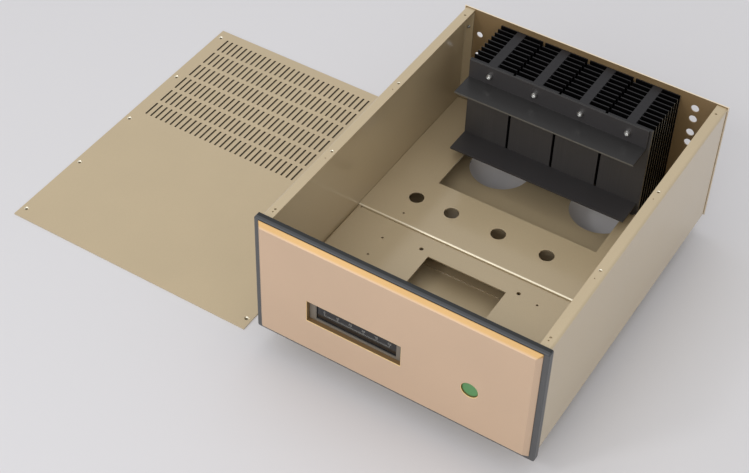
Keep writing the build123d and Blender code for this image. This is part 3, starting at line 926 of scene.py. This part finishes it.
@dataclass
class HeatsinkRow:
    """Four finned heatsinks and the two angles across their fronts."""

    count: int = 4
    skin: float = 0.8 * MM
    fin_edge: float = 0.2 * MM
    angle_edge: float = 0.5 * MM

    def dress(self) -> None:
        """Finishes the extrusions and the angles."""
        for number in range(1, self.count + 1):
            sink = Workshop.dress_node(f"heatsink_{number}", SINK)
            low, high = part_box(f"heatsink_{number}")
            middle, normal = faces(sink.data)
            front = middle[:, 1] < low.y + self.skin
            lengthways = np.abs(normal[:, 1]) > FACING
            left = (number == 1) & (middle[:, 0] < low.x + self.skin)
            right = (number == self.count) & (middle[:, 0] > high.x - self.skin)
            # Painted shade on the fins' flanks.
            refinish(sink.data, lengthways & ~front, FLANK_SHADE)
            # Painted light on the heatsinks' front faces.
            refinish(sink.data, lengthways & front, FRONT_LIGHT)
            # Painted light on the row's outer fin ends.
            refinish(sink.data, (left | right) & (np.abs(normal[:, 0]) > FACING), FIN_END_LIGHT)
            soften(sink, self.fin_edge, 1)
        # The lower angle is all in the paler copy: painted light.
        for name, finish in (("upper_bracket", BLACK), ("lower_bracket", LEG_LIGHT)):
            angle = Workshop.dress_node(name, finish)
            middle, normal = faces(angle.data)
            forward = normal[:, 1] < -FACING
            # Painted light on the angles' front faces.
            refinish(angle.data, forward, LEG_LIGHT)
            if name == "upper_bracket":
                # Painted highlight on the upper angle's front edge.
                edge = middle[:, 1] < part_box(name)[0].y + self.skin
                refinish(angle.data, forward & edge, EDGE_HIGHLIGHT)
            soften(angle, self.angle_edge)


@dataclass
class Feet:
    """Four moulded feet."""

    radius: float = 20.0 * MM
    draft: float = math.radians(6.0)
    grooves: tuple[float, ...] = (10.0 * MM, 17.5 * MM, 25.0 * MM)
    groove_depth: float = 0.7 * MM
    groove_width: float = 1.1 * MM
    side_steps: int = 70
    columns: int = 96

    def shell(self, place: Point, tall: float) -> Shell:
        """One foot: a tapering side with three bell-shaped grooves, and a dished underside.

        Args:
            place: Middle of its underside.
            tall: Its height.

        Returns:
            Vertices and faces.
        """
        up = np.linspace(1.6 * MM, tall - 1.0 * MM, self.side_steps)
        side = self.radius - up * math.tan(self.draft)
        for groove in self.grooves:
            side = side - self.groove_depth * np.exp(-((up - groove) / self.groove_width) ** 2)
        below = np.array([8.0, 9.5, 10.0, 18.4, 19.2]) * MM
        below_z = np.array([1.8, 1.2, 0.0, 0.0, 0.35]) * MM
        top = side[-1] - np.array([0.35, 1.1]) * MM
        top_z = tall - np.array([0.3, 0.0]) * MM
        radius = np.concatenate([below, side, top])
        height = np.concatenate([[1.8 * MM], below_z, up, top_z, [tall]])
        return turned(place, Axis.UP, np.repeat(radius[:, None], self.columns, axis=1), height)

    def build(self) -> None:
        """Makes the feet as one piece."""
        low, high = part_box("feet")
        spots = [(x, y, low.z) for x in (low.x + self.radius, high.x - self.radius)
                 for y in (low.y + self.radius, high.y - self.radius)]
        mesh = Workshop.mesh("moulded_feet", [self.shell(spot, high.z - low.z) for spot in spots])
        Workshop.piece("moulded_feet", mesh, RUBBER, "foot_rubber", ("feet",))


@dataclass
class PushButton:
    """Round green cap with a finger dish, on a square stem."""

    rim: float = 0.7 * MM
    dish: float = 0.35 * MM
    cap: float = 2.2 * MM
    stem: float = 4.5 * MM
    back_edge: float = 0.3 * MM
    stem_edge: float = 0.4 * MM
    dish_steps: int = 12
    rim_steps: int = 6
    columns: int = 96

    def build(self) -> Object:
        """Turns the cap: a parabolic dish, a rounded rim, a flat back and the stem's square rows.

        Returns:
            The button's object.
        """
        low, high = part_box("power_button")
        radius = (high.z - low.z) / 2
        length = high.y - low.y
        out = np.linspace(0.1, 1.0, self.dish_steps)
        dished = (radius - 2 * self.rim) * out
        dished_y = self.dish * (1 - out ** 2)
        turn = np.linspace(0.0, np.pi / 2, self.rim_steps)[1:]
        rim = radius - self.rim + self.rim * np.sin(turn)
        rim_y = self.rim - self.rim * np.cos(turn)
        back = [radius, radius - self.back_edge]
        round_rows = np.concatenate([dished, [radius - self.rim], rim, back])
        round_y = np.concatenate([dished_y, [0.0], rim_y, [self.cap - self.back_edge, self.cap]])
        rows = np.repeat(round_rows[:, None], self.columns, axis=1)
        stem = np.array([self.stem, self.stem, self.stem - self.stem_edge])
        shank = stem[:, None] * flats(4, self.columns)
        shank_y = np.array([self.cap, length - self.stem_edge, length])
        height = -np.concatenate([[self.dish], round_y, shank_y, [length]])
        place = ((low.x + high.x) / 2, low.y, (low.z + high.z) / 2)
        shell = turned(place, Axis.FRONT, np.concatenate([rows, shank]), height)
        mesh = Workshop.mesh("dished_button", [shell])
        return Workshop.piece("dished_button", mesh, GREEN, "green_button", ("power_button",),
                              Body.BUTTON)


@dataclass
class DisplayPrint:
    """Scale printed on the lens: a base line, ticks and plain numbers."""

    middle: Pair = (-58.0 * MM, 122.0 * MM)
    width: float = 104.0 * MM
    thick: float = 0.04 * MM
    ticks: int = 51
    steps: int = 6
    digit: Pair = (2.0 * MM, 3.6 * MM)
    stroke: float = 0.45 * MM
    gap: float = 0.06 * MM
    tick_tall: Pair = (3.4 * MM, 1.8 * MM)
    tick_half: Pair = (0.28 * MM, 0.18 * MM)
    base: Pair = (-0.5 * MM, -0.15 * MM)
    rise: float = 4.4 * MM
    spacing: float = 1.5

    def bars(self) -> np.ndarray:
        """Rectangles of the print.

        Returns:
            Left, right, lower and upper edge of each bar, in metres from the lens's middle.
        """
        xs = np.linspace(-self.width / 2, self.width / 2, self.ticks)
        long = np.arange(self.ticks) % ((self.ticks - 1) // (self.steps - 1)) == 0
        tall = np.where(long, *self.tick_tall)
        half = np.where(long, *self.tick_half)
        ticks = np.stack([xs - half, xs + half, np.zeros_like(xs), tall], axis=-1)
        base = np.array([[-self.width / 2, self.width / 2, *self.base]])
        numbers = [self.number(value, x) for value, x in zip(range(self.steps), xs[long])]
        return np.concatenate([ticks, base, *numbers])

    def number(self, value: int, x: float) -> np.ndarray:
        """Seven-segment figures for ten times the value, above its tick.

        Args:
            value: Tens figure.
            x: Middle of the number.

        Returns:
            The lit segments' edges, one row each.
        """
        wide, tall = self.digit
        half, s, gap = wide / 2, self.stroke, self.gap
        inner = half - s - gap
        low, high = (gap, tall / 2 - gap), (tall / 2 + gap, tall - gap)
        segments = np.array([[-inner, inner, tall - s, tall], [half - s, half, *high],
                             [half - s, half, *low], [-inner, inner, 0, s],
                             [-half, -half + s, *low], [-half, -half + s, *high],
                             [-inner, inner, (tall - s) / 2, (tall + s) / 2]])
        lit = {0: (0, 1, 2, 3, 4, 5), 1: (1, 2), 2: (0, 1, 3, 4, 6), 3: (0, 1, 2, 3, 6),
               4: (1, 2, 5, 6), 5: (0, 2, 3, 5, 6)}
        figures = (value, 0) if value else (0,)
        places = (np.arange(len(figures)) - (len(figures) - 1) / 2) * wide * self.spacing + x
        return np.concatenate([segments[list(lit[figure])] + (place, place, self.rise, self.rise)
                               for figure, place in zip(figures, places)])

    def build(self) -> Object:
        """Raises each bar as a thin flat box on the lens's face.

        Returns:
            The print's object.
        """
        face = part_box("display_lens")[0].y
        bars = self.bars()
        x = bars[:, [0, 1, 1, 0, 0, 1, 1, 0]] + self.middle[0]
        z = bars[:, [2, 2, 3, 3, 2, 2, 3, 3]] + self.middle[1]
        y = np.broadcast_to(face - self.thick * np.array([0, 0, 0, 0, 1, 1, 1, 1]), x.shape)
        corners = np.stack([x, y, z], axis=-1)
        sides = [[0, 1, 2, 3], [4, 5, 6, 7], [0, 1, 5, 4], [1, 2, 6, 5], [2, 3, 7, 6], [3, 0, 4, 7]]
        mesh = Workshop.mesh("lens_scale", [(corner, sides) for corner in corners])
        return Workshop.piece("lens_scale", mesh, PRINT, "smoked_lens")


@dataclass
class DisplayBezel:
    """Grey frame between the fascia's window and the lens."""

    middle: Pair = (-58.0 * MM, 126.5 * MM)
    outer: Pair = (74.8 * MM, 19.05 * MM)
    inner: Pair = (63.8 * MM, 15.3 * MM)
    thick: float = 1.6 * MM
    slope: float = 0.9 * MM
    outer_round: float = 0.2 * MM
    edge: float = 0.15 * MM

    def build(self) -> Object:
        """Runs a profile with a sloping inner edge round the four corners of a rectangle.

        Row i is a corner, column j a point of the profile: its share of the way from the inner to the
        outer rectangle, and its height in front of the plate.

        Returns:
            The bezel's object.
        """
        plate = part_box("front_plate")[0].y
        share = np.array([0.0, 0.0, 0.12, 0.97, 1.0, 1.0])
        height = np.array([0.0, self.thick - self.slope, self.thick, self.thick,
                           self.thick - self.outer_round, 0.0])
        signs = np.array([[-1, -1], [1, -1], [1, 1], [-1, 1]])
        reach = self.inner + share[:, None] * np.subtract(self.outer, self.inner)
        flat = signs[:, None, :] * reach + self.middle
        y = np.broadcast_to(plate - height, flat.shape[:2])
        points = np.stack([flat[..., 0], y, flat[..., 1]], axis=-1).reshape(-1, 3)
        here = np.arange(len(points)).reshape(flat.shape[:2])
        along, across = np.roll(here, -1, axis=0), np.roll(here, -1, axis=1)
        both = np.roll(along, -1, axis=1)
        quads = np.stack([here, across, both, along], axis=-1).reshape(-1, 4)
        mesh = Workshop.mesh("display_bezel", [(points, quads.tolist())])
        bezel = Workshop.piece("display_bezel", mesh, BEZEL, "black_plastic")
        soften(bezel, self.edge)
        return bezel


@dataclass
class FrontPanel:
    """Thick plate, bronze fascia, display and push button."""

    fascia_edge: float = 0.7 * MM
    plate_edge: float = 0.9 * MM
    plate_steps: int = 3
    small_edge: float = 0.3 * MM

    def build(self) -> None:
        """Makes the button, the lens's scale and its frame, and finishes the solids."""
        PushButton().build()
        DisplayPrint().build()
        DisplayBezel().build()
        soften(Workshop.dress_node("fascia", bronze()), self.fascia_edge)
        soften(Workshop.dress_node("front_plate", slate()), self.plate_edge, self.plate_steps)
        small = {"display_lens": LENS, "display_module": PLASTIC, "power_switch": PLASTIC}
        for name, finish in small.items():
            soften(Workshop.dress_node(name, finish), self.small_edge)


@dataclass
class Lamp:
    """A square soft lamp."""

    name: str
    place: Point
    aim: Point
    side: float
    power: float

    def build(self) -> None:
        """Hangs the lamp so that it faces its aim."""
        data = bpy.data.lights.new(self.name, "AREA")
        data.energy = self.power
        data.size = self.side
        lamp = bpy.data.objects.new(self.name, data)
        lamp.location = self.place
        ray = Vector(self.aim) - Vector(self.place)
        lamp.rotation_euler = ray.to_track_quat("-Z", "Y").to_euler()
        bpy.context.scene.collection.objects.link(lamp)


@dataclass
class Studio:
    """Floor, light and camera."""

    floor_side: float = 14.0
    floor_colour: Colour = linear(223, 222, 225)
    shade_colour: Colour = linear(104, 94, 76)
    shade_inset: float = 4.0 * MM
    camera_place: Point = (0.7008, -1.5237, 1.7630)
    azimuth: float = math.radians(30.72)
    elevation: float = math.radians(45.12)
    roll: float = math.radians(1.96)
    lens_mm: float = 77.74
    sensor_mm: float = 36.0
    sky: float = 0.69
    lamps: list[Lamp] = field(default_factory=lambda: [
        Lamp("overhead", (-0.3, 0.5, 2.8), (-0.1, 0.0, 0.1), 2.0, 9.0),
        Lamp("front_fill", (0.25, -2.7, 1.9), (-0.2, 0.0, 0.15), 2.4, 22.0),
        Lamp("front_left", (-1.45, -2.5, 2.7), (0.0, -0.1, 0.15), 0.5, 13.0),
    ])

    def build(self) -> None:
        """Sets up everything that isn't part of the chassis."""
        self.build_floor()
        self.build_camera()
        self.build_sky()
        for lamp in self.lamps:
            lamp.build()

    def build_floor(self) -> None:
        """Lays a pale matt floor, in shade where the cover lies on it."""
        half = self.floor_side / 2
        corners = [(-half, -half, 0), (half, -half, 0), (half, half, 0), (-half, half, 0)]
        mesh = bpy.data.meshes.new("floor")
        mesh.from_pydata(corners, [], [(0, 1, 2, 3)])
        floor = bpy.data.objects.new("floor", mesh)
        bpy.context.scene.collection.objects.link(floor)
        graph = Graph("pale_floor")
        graph.set(Roughness=0.85, Specular_IOR_Level=0.1)
        low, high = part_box("lid")
        inset = self.shade_inset
        shade = Zone(self.shade_colour, (low.x + inset, high.x - inset),
                     (low.y + inset, high.y - inset))
        colour = graph.blend(shade.share(graph), (*self.floor_colour, 1.0), shade.colour)
        graph.link(colour, graph.shader.inputs["Base Color"])
        mesh.materials.append(graph.material)

    def build_camera(self) -> None:
        """Places the camera from its azimuth, elevation and roll."""
        back = Vector((math.sin(self.azimuth) * math.cos(self.elevation),
                       -math.cos(self.azimuth) * math.cos(self.elevation), math.sin(self.elevation)))
        level = Vector((0, 0, 1)).cross(back).normalized()
        rise = back.cross(level)
        right = math.cos(self.roll) * level + math.sin(self.roll) * rise
        up = back.cross(right)
        data = bpy.data.cameras.new("camera")
        data.lens = self.lens_mm
        data.sensor_width = self.sensor_mm
        camera = bpy.data.objects.new("camera", data)
        turn = Matrix((right, up, back)).transposed().to_4x4()
        camera.matrix_world = Matrix.Translation(self.camera_place) @ turn
        bpy.context.scene.collection.objects.link(camera)
        bpy.context.scene.camera = camera

    def build_sky(self) -> None:
        """Lights the scene evenly from all round."""
        world = bpy.data.worlds.new("studio")
        world.use_nodes = True
        light = world.node_tree.nodes["Background"]
        light.inputs["Color"].default_value = (1.0, 1.0, 1.0, 1.0)
        light.inputs["Strength"].default_value = self.sky
        bpy.context.scene.world = world


def main() -> None:
    """Builds and dresses the chassis, then sets up the studio."""
    logging.basicConfig(level=logging.INFO, format="%(message)s")
    Enclosure().build()
    FrontPanel().build()
    HeatsinkRow().dress()
    Feet().build()
    for screws in SCREWS:
        screws.build()
    Studio().build()
    bpy.context.scene.view_settings.view_transform = "Standard"


if __name__ == "__main__":
    main()
